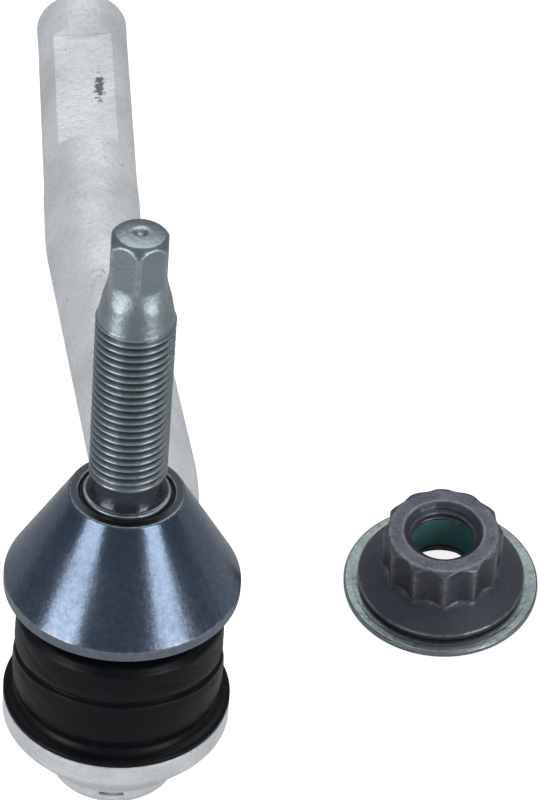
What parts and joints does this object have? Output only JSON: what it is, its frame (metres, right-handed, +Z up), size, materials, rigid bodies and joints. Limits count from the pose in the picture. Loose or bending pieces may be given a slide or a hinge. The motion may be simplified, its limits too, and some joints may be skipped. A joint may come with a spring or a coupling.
{
  "type": "tie rod end",
  "caption": "Cranked forged tie rod end with a booted ball joint, a threaded stud in a taper sleeve, a threaded arm end, and a loose twelve-point flange nut with a captive washer.",
  "frame": {"origin": "on the ground that the part lies on, at the middle of the whole footprint of arm, joint and loose nut", "axes": "+Z up from the ground, which is also the nut's own axis; +Y from the ball joint towards the threaded end of the arm; +X towards the loose nut. The stud leans 8.9 degrees from +Z, mostly towards +Y, as the part rests on its boss and its arm"},
  "size_m": [0.1091, 0.2296, 0.1234],
  "materials": {
    "forged_aluminium": "shot-blasted satin",
    "stud_steel": "satin zinc flake",
    "bearing_plastic": "moulded",
    "pad_rubber": "matte",
    "plain_steel": "satin",
    "boot_rubber": "moulded satin",
    "sleeve_steel": "turned, dark blue-grey plated",
    "seal_rubber": "smooth",
    "nut_phosphate": "dark phosphate",
    "patch_nylon": "smooth",
    "washer_zinc": "zinc flake, pressed"
  },
  "bodies": {
    "housing": {"forging": "forged_aluminium", "arm_crank": "forged_aluminium", "arm_shank": "forged_aluminium", "preload_pad": "pad_rubber", "retaining_ring": "plain_steel", "boot": "boot_rubber", "boot_band": "plain_steel"},
    "bearing": {"bearing_cup": "bearing_plastic", "bearing_collar": "bearing_plastic"},
    "swivel": {"boot_spring_ring": "plain_steel"},
    "stud": {"ball_stud": "stud_steel", "taper_sleeve": "sleeve_steel", "sleeve_seal": "seal_rubber"},
    "nut": {"nut": "nut_phosphate", "nut_locking_patch": "patch_nylon"},
    "washer": {"nut_washer": "washer_zinc"}
  },
  "joints": [
    {"name": "ball_azimuth", "type": "hinge", "parent": "housing", "child": "bearing", "pos_m": [-0.02768, -0.09311, 0.02041], "axis": [0.0622, 0.1409, 0.9881], "continuous": true},
    {"name": "ball_tilt", "type": "hinge", "parent": "bearing", "child": "swivel", "pos_m": [-0.02768, -0.09311, 0.02041], "axis": [0.998, 0, -0.0628], "range_deg": [-20, 20], "deforming": ["boot"]},
    {"name": "stud_spin", "type": "hinge", "parent": "swivel", "child": "stud", "pos_m": [-0.02768, -0.09311, 0.02041], "axis": [0.0622, 0.1409, 0.9881], "continuous": true},
    {"name": "nut_lift", "type": "slide", "parent": "housing", "child": "nut", "axis": [0, 0, 1], "range_m": [0, 0.05]},
    {"name": "washer_spin", "type": "hinge", "parent": "nut", "child": "washer", "pos_m": [0.03512, -0.04901, 0.00075], "axis": [0, 0, 1], "continuous": true}
  ]
}
